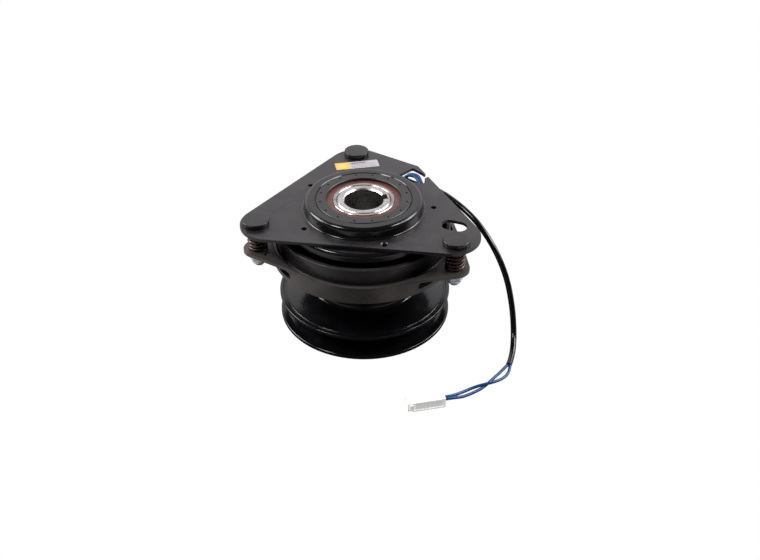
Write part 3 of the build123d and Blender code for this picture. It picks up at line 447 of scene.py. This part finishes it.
def lathe(corners, steps=LATHE_STEPS):
    """Turns a section about the shaft axis.

    A corner is a radius, a height and, if it is rounded, a rounding.
    """
    bm = bmesh.new()
    section = [bm.verts.new((corner[0], 0.0, corner[1])) for corner in corners]
    bm.faces.new(section)
    for rounding in sorted({corner[2] for corner in corners if len(corner) == 3}):
        rounded = [
            vert for vert, corner in zip(section, corners) if corner[2:] == (rounding,)
        ]
        bmesh.ops.bevel(
            bm, geom=rounded, offset=rounding, offset_type="OFFSET", segments=ROUND_STEPS,
            profile=0.5, affect="VERTICES", clamp_overlap=True, material=-1,
        )
    bmesh.ops.delete(bm, geom=bm.faces[:], context="FACES_ONLY")
    bmesh.ops.spin(
        bm, geom=bm.verts[:] + bm.edges[:], cent=(0, 0, 0), axis=(0, 0, 1), dvec=(0, 0, 0),
        angle=math.tau, steps=steps, use_merge=True, use_duplicate=False,
    )
    bmesh.ops.remove_doubles(bm, verts=bm.verts[:], dist=1e-7)
    bmesh.ops.recalc_face_normals(bm, faces=bm.faces[:])
    return bm


def soften(bm, radius, steps=2):
    """Rounds every sharp edge of a solid."""
    sharp = [
        edge for edge in bm.edges
        if len(edge.link_faces) == 2 and edge.calc_face_angle() > SMOOTH_UNDER
    ]
    bmesh.ops.bevel(
        bm, geom=sharp, offset=radius, offset_type="OFFSET", segments=steps,
        profile=0.5, affect="EDGES", clamp_overlap=True, material=-1,
    )
    return bm


def softened_copy(node, radius):
    """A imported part's solid with its flat faces joined up and its sharp edges rounded."""
    bm = bmesh.new()
    bm.from_mesh(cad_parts[node].data)
    bmesh.ops.remove_doubles(bm, verts=bm.verts[:], dist=1e-6)
    bmesh.ops.dissolve_limit(
        bm, angle_limit=FLAT_WITHIN, verts=bm.verts[:], edges=bm.edges[:],
        use_dissolve_boundaries=False,
    )
    return soften(bm, radius)


def hex_radius(angle, across, limit):
    """How far a hexagon's outline is from its centre, up to a limit that trims its corners."""
    from_flat = angle % (math.tau / 6) - math.tau / 12
    return min(across / 2 / math.cos(from_flat), limit)


def stack(levels, across, steps=72):
    """A bored solid of rings, each a height and the radius that trims the hexagon there."""
    bm = bmesh.new()
    ring = bmesh.ops.create_circle(bm, segments=steps, radius=1.0)["verts"]
    edges = list({edge for vert in ring for edge in vert.link_edges})
    first = None
    for height, limit in levels:
        if first is None:
            first = edges
        else:
            grown = bmesh.ops.extrude_edge_only(bm, edges=edges)["geom"]
            ring = [part for part in grown if isinstance(part, bmesh.types.BMVert)]
            corners = set(ring)
            edges = [
                part for part in grown
                if isinstance(part, bmesh.types.BMEdge) and set(part.verts) <= corners
            ]
        for vert in ring:
            angle = math.atan2(vert.co.y, vert.co.x)
            reach = hex_radius(angle, across, limit)
            vert.co = Vector((reach * math.cos(angle), reach * math.sin(angle), height))
    bmesh.ops.bridge_loops(bm, edges=first + edges)
    bmesh.ops.recalc_face_normals(bm, faces=bm.faces[:])
    return bm


def merged(parts):
    """One bmesh from several, each moved to its place."""
    whole = bmesh.new()
    for part, place in parts:
        part.transform(place)
        carried = bpy.data.meshes.new("carried")
        part.to_mesh(carried)
        part.free()
        whole.from_mesh(carried)
        bpy.data.meshes.remove(carried)
    return whole


def wire(name, points, radius, body, material, slot, *replaced):
    """A round flexible lead along one smooth open line."""
    line = bpy.data.curves.new(name, "CURVE")
    line.dimensions = "3D"
    spline = line.splines.new("NURBS")
    spline.points.add(len(points) - 1)
    for control, place in zip(spline.points, points):
        control.co = (*place, 1.0)
    spline.order_u = 3
    spline.use_endpoint_u = True
    spline.resolution_u = 16
    line.bevel_depth = radius
    line.bevel_resolution = 6
    line.use_fill_caps = True
    line.materials.append(material)
    made = bpy.data.objects.new(name, line)
    bpy.context.scene.collection.objects.link(made)
    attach(made, body)
    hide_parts(*replaced)
    return made


# ---------------------------------------------------------------- camera

CAMERA_PLACE = (0.0118, -0.5752, 0.4490)
CAMERA_TILT = math.radians(53.57)
CAMERA_LENS = 43.79

camera = bpy.data.cameras.new("camera")
camera.sensor_width = 36.0
camera.lens = CAMERA_LENS
camera.clip_start = 0.01
camera_place = bpy.data.objects.new("camera", camera)
camera_place.location = CAMERA_PLACE
camera_place.rotation_euler = (CAMERA_TILT, 0.0, 0.0)
bpy.context.scene.collection.objects.link(camera_place)
bpy.context.scene.camera = camera_place


# ---------------------------------------------------------------- lead, wires and connector

SLEEVE_RADIUS = 0.0022
WIRE_RADIUS = 0.0011

SLEEVE_ROUTE = [
    (0.0605, 0.0270, 0.0853), (0.0760, 0.0085, 0.0838), (0.0930, -0.0115, 0.0695),
    (0.1045, -0.0255, 0.0490), (0.1098, -0.0345, 0.0270), (0.1113, -0.0435, 0.0115),
    (0.1103, -0.0550, 0.0040), (0.1076, -0.0665, 0.0023), (0.1050, -0.0735, 0.0022),
]
WIRE_A_ROUTE = [
    (0.10408, -0.07325, 0.0022), (0.0996, -0.0785, 0.0012), (0.0926, -0.0866, 0.0012),
    (0.0848, -0.0960, 0.0012), (0.0775, -0.1012, 0.0012), (0.0695, -0.1060, 0.0016),
    (0.0623, -0.10945, 0.0040), (0.05606, -0.1108, 0.0040),
]
WIRE_B_ROUTE = [
    (0.10592, -0.07375, 0.0022), (0.1046, -0.0805, 0.0013), (0.0995, -0.0874, 0.0019),
    (0.0926, -0.0927, 0.0034), (0.0855, -0.0950, 0.0034), (0.0780, -0.0962, 0.0016),
    (0.0705, -0.1006, 0.0015), (0.0619, -0.10749, 0.0040), (0.05564, -0.10884, 0.0040),
]
# Both lead wires loop up through the plate's window and into the sleeve, side by side.
LOOP_ROUTE = [
    (0.0308, 0.0448, 0.0845), (0.0310, 0.0452, 0.0896), (0.0342, 0.0458, 0.0918),
    (0.0404, 0.0434, 0.0916), (0.0424, 0.0384, 0.0892), (0.0434, 0.0360, 0.0868),
    (0.0534, 0.0344, 0.0864), (0.0605, 0.0270, 0.0853),
]
LOOP_SHIFT = Vector((0.00095, 0.00105, 0.0))

sleeve = wire(
    "black_sleeve", SLEEVE_ROUTE, SLEEVE_RADIUS, "field", SLEEVE_VINYL, "lead_sleeving",
    "lead_sleeve",
)
wire_a = wire(
    "blue_wire_a", WIRE_A_ROUTE, WIRE_RADIUS, "field", BLUE_VINYL, "blue_insulation",
    "connector_wire_a",
)
wire_b = wire(
    "blue_wire_b", WIRE_B_ROUTE, WIRE_RADIUS, "field", BLUE_VINYL, "blue_insulation",
    "connector_wire_b",
)
for loop_name, side in (("front", -1.0), ("rear", 1.0)):
    loop_route = [Vector(point) + side * LOOP_SHIFT for point in LOOP_ROUTE]
    wire(
        "blue_loop_" + loop_name, loop_route, WIRE_RADIUS, "field", BLUE_VINYL, "blue_insulation",
        "lead_wire_" + loop_name,
    )

CONNECTOR_CENTRE = (0.0430, -0.1126, 0.0040)
CONNECTOR_TURN = math.radians(12.2)
CONNECTOR_PLACE = Matrix.Translation(CONNECTOR_CENTRE) @ Matrix.Rotation(CONNECTOR_TURN, 4, "Z")
BODY_FRONT, BODY_REAR = -0.0100, 0.01325
BODY_WIDTH, BODY_HEIGHT = 0.0095, 0.0080
SNOUT_LENGTH, SNOUT_STEP = 0.00325, 0.0008
PANEL_MARGIN, PANEL_DEPTH = 0.0014, 0.0005
CAVITY_WALL, CAVITY_DEPTH = 0.0007, 0.0085
ENTRY_WALL, ENTRY_DEPTH = 0.0012, 0.0030
MOULDED_EDGE = 0.00035
PANEL_AREA = 0.0001
END_RUNG = 0.002


def facing(bm, direction):
    """The faces that look one way."""
    way = Vector(direction)
    return [face for face in bm.faces if face.normal.dot(way) > 0.99]


def push(bm, faces, offset):
    """Extrudes each face by itself and moves it."""
    made = bmesh.ops.extrude_discrete_faces(bm, faces=faces)["faces"]
    bmesh.ops.translate(bm, verts=list({vert for face in made for vert in face.verts}), vec=offset)
    return made


def connector_shell():
    """A two-way housing, with two cavities in its snout and two wire entries behind."""
    bm = bmesh.new()
    bmesh.ops.create_cube(bm, size=1.0)
    bmesh.ops.scale(bm, vec=(BODY_REAR - BODY_FRONT, BODY_WIDTH, BODY_HEIGHT), verts=bm.verts[:])
    bmesh.ops.translate(bm, vec=((BODY_REAR + BODY_FRONT) / 2, 0, 0), verts=bm.verts[:])
    bm.normal_update()
    snout = facing(bm, (-1, 0, 0))
    bmesh.ops.inset_region(bm, faces=snout, thickness=SNOUT_STEP)
    snout = push(bm, snout, (-SNOUT_LENGTH, 0, 0))
    bm.normal_update()
    panels = facing(bm, (0, 0, 1)) + facing(bm, (0, 1, 0)) + facing(bm, (0, -1, 0))
    large = [face for face in panels if face.calc_area() > PANEL_AREA]
    bmesh.ops.inset_individual(bm, faces=large, thickness=PANEL_MARGIN)
    for face in push(bm, large, (0, 0, 0)):
        bmesh.ops.translate(bm, verts=face.verts[:], vec=face.normal * -PANEL_DEPTH)
    ends = snout + facing(bm, (1, 0, 0))
    rungs = [
        edge for face in ends for edge in face.edges
        if abs(edge.verts[0].co.y - edge.verts[1].co.y) > END_RUNG
    ]
    bmesh.ops.subdivide_edges(bm, edges=rungs, cuts=1, use_grid_fill=True)
    bm.normal_update()
    mouths = [
        face for face in facing(bm, (-1, 0, 0))
        if face.calc_center_median().x < BODY_FRONT - SNOUT_LENGTH / 2
    ]
    entries = facing(bm, (1, 0, 0))
    bmesh.ops.inset_individual(bm, faces=mouths, thickness=CAVITY_WALL)
    push(bm, mouths, (CAVITY_DEPTH, 0, 0))
    bmesh.ops.inset_individual(bm, faces=entries, thickness=ENTRY_WALL)
    push(bm, entries, (-ENTRY_DEPTH, 0, 0))
    bmesh.ops.recalc_face_normals(bm, faces=bm.faces[:])
    soften(bm, MOULDED_EDGE, 3)
    bm.transform(CONNECTOR_PLACE)
    return bm


housing = piece(
    "connector_shell", connector_shell(), "field", NYLON_PAINTED_GLOW, "connector_nylon", "connector_housing"
)


# ---------------------------------------------------------------- field

PLATE_EDGE = 0.00045
piece(
    "stamped_field_plate", softened_copy("field_plate", PLATE_EDGE), "field", PLATE_COAT,
    "black_coated_steel", "field_plate",
)

# The drawn dome flares into the plate with a small hollow.
DOME_RADIUS = 0.0439
FLARE = 0.0016
FLARE_SINK = 0.0003
FLARE_TURNS = [15.0 * step for step in range(7)]


def flare_corner(degrees):
    turn = math.radians(degrees)
    return (
        DOME_RADIUS + FLARE - FLARE * math.cos(turn),
        PLATE_TOP + FLARE + 0.00005 - FLARE * math.sin(turn),
    )


flare_section = [
    (DOME_RADIUS - FLARE_SINK, PLATE_TOP - FLARE_SINK),
    (DOME_RADIUS - FLARE_SINK, PLATE_TOP + FLARE),
    *map(flare_corner, FLARE_TURNS), (DOME_RADIUS + FLARE, PLATE_TOP - FLARE_SINK),
]
piece("dome_flare", lathe(flare_section), "field", DOME_COAT, "black_coated_steel")

# Adjusting bolts with flat round heads and rolled threads.
BOLT_TIP, HEAD_TOP = (corner.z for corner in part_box("adjusting_bolts"))
HEAD_RADIUS = 0.0096
SHANK = 0.0039
THREAD_ROOT = SHANK - 0.0004
THREAD_TOP = 0.0725
THREAD_PITCH = 0.00125
RIDGE_ROOT, RIDGE_HALF = SHANK - 0.0006, 0.0006
THREAD_START = 0.0008
THREAD_STEPS = 24


def bolt():
    return lathe(
        [
            (0.0, BOLT_TIP), (SHANK - 0.0009, BOLT_TIP), (THREAD_ROOT, BOLT_TIP + 0.0005),
            (THREAD_ROOT, THREAD_TOP), (SHANK, THREAD_TOP + 0.0004), (SHANK, PLATE_TOP),
            (HEAD_RADIUS - 0.0003, PLATE_TOP), (HEAD_RADIUS, PLATE_TOP + 0.0004),
            (HEAD_RADIUS, HEAD_TOP, 0.0007), (0.0, HEAD_TOP),
        ],
        steps=96,
    )


def thread():
    """One helical ridge with its ends run out into the shank."""
    bm = bmesh.new()
    ridge = ((RIDGE_ROOT, -RIDGE_HALF), (SHANK, 0.0), (RIDGE_ROOT, RIDGE_HALF))
    section = [
        bm.verts.new((radius, 0.0, BOLT_TIP + THREAD_START + height)) for radius, height in ridge
    ]
    start = bm.faces.new(section)
    turns = (THREAD_TOP - BOLT_TIP - THREAD_START) / THREAD_PITCH
    bmesh.ops.spin(
        bm, geom=[start], cent=(0, 0, 0), axis=(0, 0, 1), dvec=(0, 0, THREAD_PITCH / THREAD_STEPS),
        angle=math.tau * turns, steps=round(turns * THREAD_STEPS), use_merge=False,
        use_duplicate=False,
    )
    bmesh.ops.recalc_face_normals(bm, faces=bm.faces[:])
    return bm


bolt_parts = []
for bolt_place in BOLT_PLACES.values():
    bolt_parts.append((bolt(), Matrix.Translation(bolt_place)))
    bolt_parts.append((thread(), Matrix.Translation(bolt_place)))
piece(
    "threaded_bolts", merged(bolt_parts), "field", BOLT_COAT, "dark_bolt_steel", "adjusting_bolts"
)

# Brake springs, wound with a closed turn at each end and ground flat there.
SPRING_WIRE_RADIUS = 0.00095
SPRING_RADIUS = 0.0072 - SPRING_WIRE_RADIUS
CLOSED_PITCH = 2 * SPRING_WIRE_RADIUS + 0.00005
ACTIVE_TURNS = 4.25
STEPS_PER_TURN = 32
GROUND_GAP = 0.00003


def brake_spring():
    low = EAR_TOP + SPRING_WIRE_RADIUS * 0.6
    high = PLATE_UNDERSIDE - SPRING_WIRE_RADIUS * 0.6
    bm = bmesh.new()
    upright = Matrix.Rotation(math.radians(90.0), 4, "X")
    bmesh.ops.create_circle(
        bm, segments=14, radius=SPRING_WIRE_RADIUS, cap_ends=True,
        matrix=Matrix.Translation((SPRING_RADIUS, 0, low)) @ upright,
    )
    end = bm.faces[:]
    active_rise = high - low - 2 * CLOSED_PITCH
    closed_turn = (1.0, CLOSED_PITCH)
    for turns, rise in (closed_turn, (ACTIVE_TURNS, active_rise), closed_turn):
        steps = round(turns * STEPS_PER_TURN)
        grown = bmesh.ops.spin(
            bm, geom=end, cent=(0, 0, 0), axis=(0, 0, 1), dvec=(0, 0, rise / steps),
            angle=math.tau * turns, steps=steps, use_merge=False, use_duplicate=False,
        )["geom_last"]
        end = [part for part in grown if isinstance(part, bmesh.types.BMFace)]
    for height, way in ((EAR_TOP, -1), (PLATE_UNDERSIDE, 1)):
        cut = bmesh.ops.bisect_plane(
            bm, geom=bm.verts[:] + bm.edges[:] + bm.faces[:], dist=1e-7,
            plane_co=(0, 0, height - way * GROUND_GAP), plane_no=(0, 0, way),
            clear_outer=True, clear_inner=False,
        )["geom_cut"]
        rim = [part for part in cut if isinstance(part, bmesh.types.BMEdge)]
        bmesh.ops.holes_fill(bm, edges=rim)
    bmesh.ops.recalc_face_normals(bm, faces=bm.faces[:])
    return bm


for bolt_name, bolt_place in BOLT_PLACES.items():
    coil = brake_spring()
    bmesh.ops.translate(coil, verts=coil.verts[:], vec=bolt_place)
    spring = piece(
        "coil_spring_" + bolt_name, coil, None, SPRING_WIRE, "spring_steel",
        "brake_spring_" + bolt_name,
    )
    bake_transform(spring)


# ---------------------------------------------------------------- rotor, brake plate and nuts

ROTOR_FACE, ROTOR_TOP = (corner.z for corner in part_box("rotor"))
ROTOR_BORE, ROTOR_NECK = 0.0240, 0.0316
SLOT_INNER, SLOT_OUTER, SLOT_DEPTH = 0.0460, 0.0540, 0.003
ROTOR_RADIUS = 0.0656
SHOULDER_LOW, SHOULDER_TOP = 0.0652, 0.0668
WALL_INNER, WALL_OUTER = 0.0607, 0.0639
WEB_TOP = 0.0665
ROTOR_SECTION = [
    (ROTOR_BORE, ROTOR_FACE), (SLOT_INNER, ROTOR_FACE), (SLOT_INNER, ROTOR_FACE + SLOT_DEPTH),
    (SLOT_OUTER, ROTOR_FACE + SLOT_DEPTH), (SLOT_OUTER, ROTOR_FACE),
    (ROTOR_RADIUS, ROTOR_FACE, 0.0005), (ROTOR_RADIUS, SHOULDER_LOW, 0.0007),
    (WALL_OUTER, SHOULDER_TOP, 0.0008), (WALL_OUTER, ROTOR_TOP, 0.0007),
    (WALL_INNER, ROTOR_TOP, 0.0007), (WALL_INNER, WEB_TOP, 0.0012), (ROTOR_NECK, WEB_TOP, 0.0012),
    (ROTOR_NECK, ROTOR_TOP, 0.0005), (ROTOR_BORE, ROTOR_TOP),
]
piece("turned_rotor", lathe(ROTOR_SECTION), "hub", ROTOR_COAT, "bronzed_steel", "rotor")

BRAKE_PLATE_EDGE = 0.0005
piece(
    "pressed_brake_plate", softened_copy("brake_plate", BRAKE_PLATE_EDGE), "brake_plate", BRONZED,
    "bronzed_steel", "brake_plate",
)

# Lock nuts: a hexagon with trimmed corners under the ear, and a round collar below it.
NUT_ACROSS = 0.012
NUT_BORE = 0.00395
NUT_TRIM = NUT_ACROSS / 2 * 0.98
NUT_CHAMFER = 0.0006
COLLAR_RADIUS = 0.0052
COLLAR_HEIGHT = 0.0030
TRIM_SLOPE = math.tan(math.radians(30.0))
TRIM_DROPS = (0.0, 0.00015, 0.0003, 0.00045, 0.0006)


def lock_nut(low, high):
    shoulder = low + COLLAR_HEIGHT
    levels = [
        (low + NUT_CHAMFER, NUT_BORE), (low, NUT_BORE + NUT_CHAMFER),
        (low, COLLAR_RADIUS - 0.0008), (low + 0.0003, COLLAR_RADIUS - 0.0002),
        (low + 0.0009, COLLAR_RADIUS), (shoulder, COLLAR_RADIUS),
    ]
    levels += [(shoulder + drop, NUT_TRIM + drop / TRIM_SLOPE) for drop in TRIM_DROPS]
    levels += [(high - drop, NUT_TRIM + drop / TRIM_SLOPE) for drop in reversed(TRIM_DROPS)]
    levels += [(high, NUT_BORE + NUT_CHAMFER), (high - NUT_CHAMFER, NUT_BORE)]
    return stack(levels, NUT_ACROSS)


for bolt_name, bolt_place in BOLT_PLACES.items():
    nut = lock_nut(*(corner.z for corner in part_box("brake_nut_" + bolt_name)))
    bmesh.ops.translate(nut, verts=nut.verts[:], vec=bolt_place)
    piece(
        "lock_nut_" + bolt_name, nut, "nut_" + bolt_name, ZINC, "zinc_steel",
        "brake_nut_" + bolt_name,
    )


# ---------------------------------------------------------------- pulley and leaf springs

RIM_RADIUS = 0.0654
RIM_INNER = 0.0602
UPPER_CORE = 0.0405
LOWER_CORE = 0.0485
WALL_SLOPE = math.tan(math.radians(18.0))
LOWER_RIM_TOP = 0.0030
MIDDLE_RIM_LOW, MIDDLE_RIM_TOP = 0.0180, 0.0210
UPPER_RIM_LOW = 0.0480
UPPER_RIM_RADIUS = 0.0610
DISH = 0.0004
RELIEF = 0.0010
RELIEF_INNER, RELIEF_OUTER = 0.0610, 0.0630
FOOT_RADIUS, FOOT_TOP = 0.0440, 0.0150
MOUTH_RADIUS = 0.0342
SEAT_RADIUS, SEAT_LOW, SEAT_TOP = 0.0340, 0.0195, 0.0355
LIP_RADIUS, LIP_LOW = 0.0314, 0.0170
LIP_FLARE = 0.0380
upper_rise = (RIM_INNER - UPPER_CORE) * WALL_SLOPE
lower_rise = (RIM_INNER - LOWER_CORE) * WALL_SLOPE
under_rise = (UPPER_RIM_RADIUS - UPPER_CORE) * WALL_SLOPE
PULLEY_SECTION = [
    (FOOT_RADIUS, 0.0, 0.0005), (RIM_RADIUS, 0.0, 0.0009), (RIM_RADIUS, LOWER_RIM_TOP, 0.0009),
    (RIM_INNER, LOWER_RIM_TOP, 0.0006), (LOWER_CORE, LOWER_RIM_TOP + lower_rise, 0.0012),
    (LOWER_CORE, MIDDLE_RIM_LOW - lower_rise, 0.0012), (RIM_INNER, MIDDLE_RIM_LOW, 0.0006),
    (RIM_RADIUS, MIDDLE_RIM_LOW, 0.0009), (RIM_RADIUS, MIDDLE_RIM_TOP, 0.0007),
    (RELIEF_OUTER, MIDDLE_RIM_TOP, 0.0003), (0.0626, MIDDLE_RIM_TOP - RELIEF, 0.0002),
    (0.0612, MIDDLE_RIM_TOP - RELIEF, 0.0002), (RELIEF_INNER, MIDDLE_RIM_TOP - DISH, 0.0003),
    (RIM_INNER, MIDDLE_RIM_TOP - DISH, 0.0004),
    (UPPER_CORE, MIDDLE_RIM_TOP - DISH + upper_rise, 0.003),
    (UPPER_CORE, UPPER_RIM_LOW - under_rise, 0.003), (UPPER_RIM_RADIUS, UPPER_RIM_LOW, 0.0008),
    (UPPER_RIM_RADIUS, PULLEY_TOP, 0.0008), (MOUTH_RADIUS, PULLEY_TOP, 0.0004),
    (MOUTH_RADIUS, SEAT_TOP), (SEAT_RADIUS, SEAT_TOP), (SEAT_RADIUS, SEAT_LOW),
    (LIP_RADIUS, SEAT_LOW), (LIP_RADIUS, LIP_LOW), (LIP_FLARE, FOOT_TOP, 0.0008),
    (FOOT_RADIUS, FOOT_TOP, 0.0008),
]
piece("turned_pulley", lathe(PULLEY_SECTION), "pulley", PULLEY_COAT, "black_pulley", "pulley")

LEAF_EDGE = 0.00015
leaves = piece(
    "leaf_springs_rounded", softened_copy("leaf_springs", LEAF_EDGE), None, LEAF_STEEL,
    "leaf_spring_steel", "leaf_springs",
)
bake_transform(leaves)


# ---------------------------------------------------------------- studio

FLOOR_SIZE = 8.0
FLOOR_GAP = 0.0001
STRIP_START, STRIP_FULL, STRIP_GLOW = 0.055, 0.13, 0.5
BORE_SPOT, BORE_SPOT_EDGE, BORE_GLOW = 0.014, 0.018, 0.9
SKY_DIM, SKY_BEHIND = 0.05, 1.05

floor_mesh = bpy.data.meshes.new("floor")
floor_bm = bmesh.new()
bmesh.ops.create_grid(floor_bm, x_segments=1, y_segments=1, size=FLOOR_SIZE / 2)
floor_bm.to_mesh(floor_mesh)
floor_bm.free()
floor = bpy.data.objects.new("floor", floor_mesh)
floor.location.z = -FLOOR_GAP
bpy.context.scene.collection.objects.link(floor)

# The table itself shows plain white. In reflections it is dark, apart from a soft strip on each
# side and a spot under the bore.
table = finish("lit_white_table")
table_place = table.place()
aside = table.along("X", table_place).math("ABSOLUTE", table.along("X", table_place))
beside = table.between(aside, STRIP_START, STRIP_FULL, 0.0, STRIP_GLOW)
below_bore = table.between(table.from_axis(), BORE_SPOT, BORE_SPOT_EDGE, BORE_GLOW, 0.0)
glow_colour = table.mix(beside + below_bore, rgb(0.0, 0.0, 0.0), rgb(1.0, 0.985, 1.0))
floor_mesh.materials.append(table.surface(
    Base_Color=rgb(0.06, 0.06, 0.065), Roughness=1.0, Specular_IOR_Level=0.0,
    Emission_Strength=1.0, Emission_Color=glow_colour,
))
table.owner.cycles.emission_sampling = "NONE"
white = table.add("ShaderNodeEmission")
seen = table.add("ShaderNodeLightPath", output="Is Camera Ray")
lit = Number(table, table.tree.nodes["Principled BSDF"].outputs[0])
shown = table.add("ShaderNodeMixShader", inputs={0: seen, 1: lit, 2: white})
table.feed(table.tree.nodes["Material Output"], {"Surface": shown})

sky = Nodes(bpy.data.worlds.new("studio"))
bpy.context.scene.world = sky.owner
way = sky.add("ShaderNodeTexCoord", output="Generated")
behind = sky.between(sky.along("Y", way), 0.0, 0.65)
low = sky.between(sky.along("Z", way), 0.62, 0.9, 1.0, 0.0)
sky.feed(
    sky.tree.nodes["Background"],
    {"Color": rgb(1.0, 0.97, 1.0), "Strength": SKY_DIM + behind * low * SKY_BEHIND},
)

CLUTCH_MIDDLE = Vector((0, 0, 0.06))


def softbox(name, place, size, power):
    """A square soft light that faces the middle of the clutch."""
    lamp = bpy.data.lights.new(name, "AREA")
    lamp.shape = "RECTANGLE"
    lamp.size, lamp.size_y = size
    lamp.energy = power
    made = bpy.data.objects.new(name, lamp)
    made.location = place
    made.rotation_euler = (Vector(place) - CLUTCH_MIDDLE).to_track_quat("Z", "Y").to_euler()
    bpy.context.scene.collection.objects.link(made)


softbox("left_softbox", (-0.92, -0.40, 1.40), (0.40, 0.40), 9.0)
softbox("right_softbox", (1.15, -0.20, 1.35), (0.40, 0.40), 8.0)
softbox("left_low_softbox", (-1.05, 0.25, 0.75), (0.6, 0.6), 11.0)
softbox("right_low_softbox", (1.05, 0.25, 0.75), (0.6, 0.6), 11.0)

bpy.context.scene.view_settings.view_transform = "Standard"
